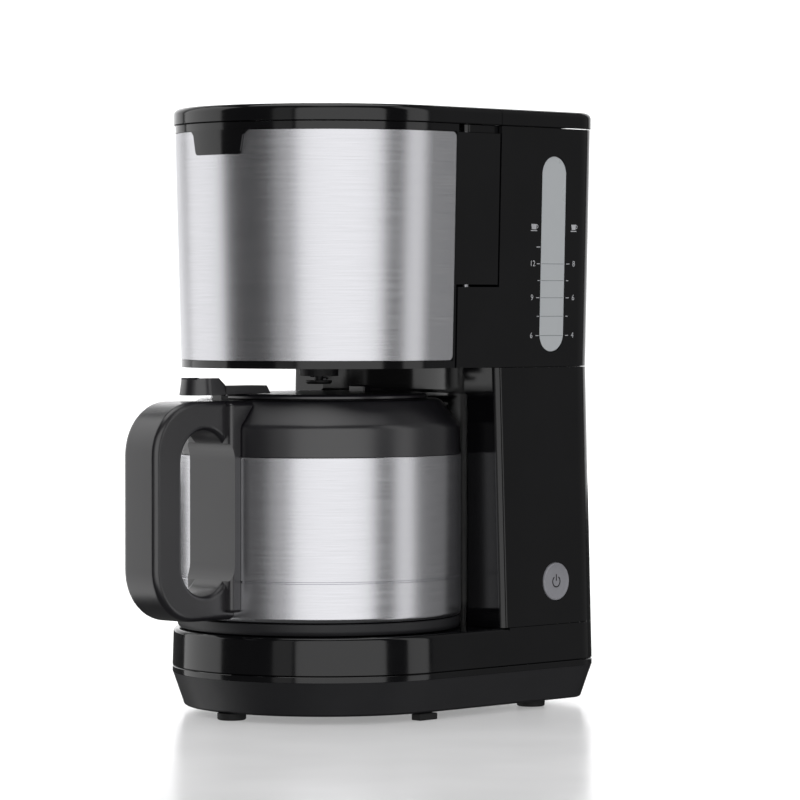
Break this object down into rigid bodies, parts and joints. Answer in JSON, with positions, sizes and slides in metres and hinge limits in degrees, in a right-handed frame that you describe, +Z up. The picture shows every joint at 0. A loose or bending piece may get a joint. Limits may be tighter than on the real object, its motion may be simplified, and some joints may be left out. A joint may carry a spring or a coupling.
{
  "type": "drip coffee maker",
  "caption": "Drip coffee maker with a swing-out filter holder, hinged tank lid and a removable insulated carafe with a thumb lever.",
  "frame": {"origin": "middle of the footprint, on the plane the feet stand on", "axes": "+Z up, front and carafe handle towards -Y, filter holder hinge on the +X side"},
  "size_m": [0.173, 0.285, 0.3387],
  "materials": {
    "matte_black": "fine moulded texture",
    "gloss_black": "high gloss",
    "clear_window": "clear moulded plastic",
    "inner_steel": "satin",
    "silicone": "matte",
    "white_plastic": "matte",
    "cast_aluminium": "as cast",
    "circuit_board": "solder mask",
    "foot_rubber": "matte",
    "screw_steel": "turned",
    "brushed_panel": "horizontal brushed grain",
    "button_grey": "satin",
    "charcoal_matte": "satin moulded"
  },
  "bodies": {
    "chassis": {"base_pan": "matte_black", "front_deck": "gloss_black", "column_shell": "gloss_black", "tank_housing": "gloss_black", "water_window": "clear_window", "top_cover": "gloss_black", "shower_head": "inner_steel", "riser_tube": "silicone", "cold_hose": "silicone", "heater_hose": "silicone", "check_valve": "white_plastic", "flow_heater": "cast_aluminium", "heating_element": "inner_steel", "thermostat": "white_plastic", "thermal_fuse": "white_plastic", "control_board": "circuit_board", "switch_body": "white_plastic", "cord_gland": "foot_rubber", "foot_front": "foot_rubber", "foot_side_left": "foot_rubber", "foot_side_right": "foot_rubber", "foot_rear_left": "foot_rubber", "foot_rear_right": "foot_rubber", "base_screw_1": "screw_steel", "base_screw_2": "screw_steel", "base_screw_3": "screw_steel", "base_screw_4": "screw_steel"},
    "tank_lid": {"tank_lid": "gloss_black"},
    "filter_holder": {"holder_shell": "gloss_black", "steel_front_panel": "brushed_panel", "badge_plate": "gloss_black", "filter_basket": "matte_black", "hinge_pin_upper": "screw_steel", "hinge_pin_lower": "screw_steel"},
    "drip_valve": {"drip_valve": "matte_black", "valve_spring": "screw_steel"},
    "power_button": {"power_button": "button_grey"},
    "carafe": {"carafe_base": "matte_black", "carafe_shell": "brushed_panel", "carafe_liner": "inner_steel", "carafe_collar": "charcoal_matte", "carafe_handle": "charcoal_matte", "lever_pin": "screw_steel"},
    "carafe_lid": {"carafe_lid": "charcoal_matte", "lid_gasket": "silicone"},
    "thumb_lever": {"thumb_lever": "charcoal_matte"}
  },
  "joints": [
    {"name": "tank_lid_hinge", "type": "hinge", "parent": "chassis", "child": "tank_lid", "pos_m": [0, 0.1395, 0.3325], "axis": [-1, 0, 0], "range_deg": [0, 95]},
    {"name": "filter_holder_swing", "type": "hinge", "parent": "chassis", "child": "filter_holder", "pos_m": [0.0784, 0.0315, 0.26], "axis": [0, 0, 1], "range_deg": [0, 90]},
    {"name": "drip_valve_lift", "type": "slide", "parent": "filter_holder", "child": "drip_valve", "axis": [0, 0, 1], "range_m": [0, 0.003], "stiffness_N_per_m": 60, "springref_m": -0.002, "deforming": ["valve_spring"]},
    {"name": "power_button_press", "type": "slide", "parent": "chassis", "child": "power_button", "axis": [-1, 0, 0], "range_m": [0, 0.0015], "stiffness_N_per_m": 500, "springref_m": -0.002},
    {"name": "carafe_slide_out", "type": "slide", "parent": "chassis", "child": "carafe", "axis": [0, -1, 0], "range_m": [0, 0.19]},
    {"name": "carafe_lid_twist", "type": "hinge", "parent": "carafe", "child": "carafe_lid", "pos_m": [0, -0.0055, 0.178], "axis": [0, 0, 1], "range_deg": [0, 45]},
    {"name": "thumb_lever_press", "type": "hinge", "parent": "carafe", "child": "thumb_lever", "pos_m": [0, -0.082, 0.1806], "axis": [1, 0, 0], "range_deg": [0, 6], "stiffness_Nm_per_rad": 0.3, "springref_deg": -5.73}
  ]
}
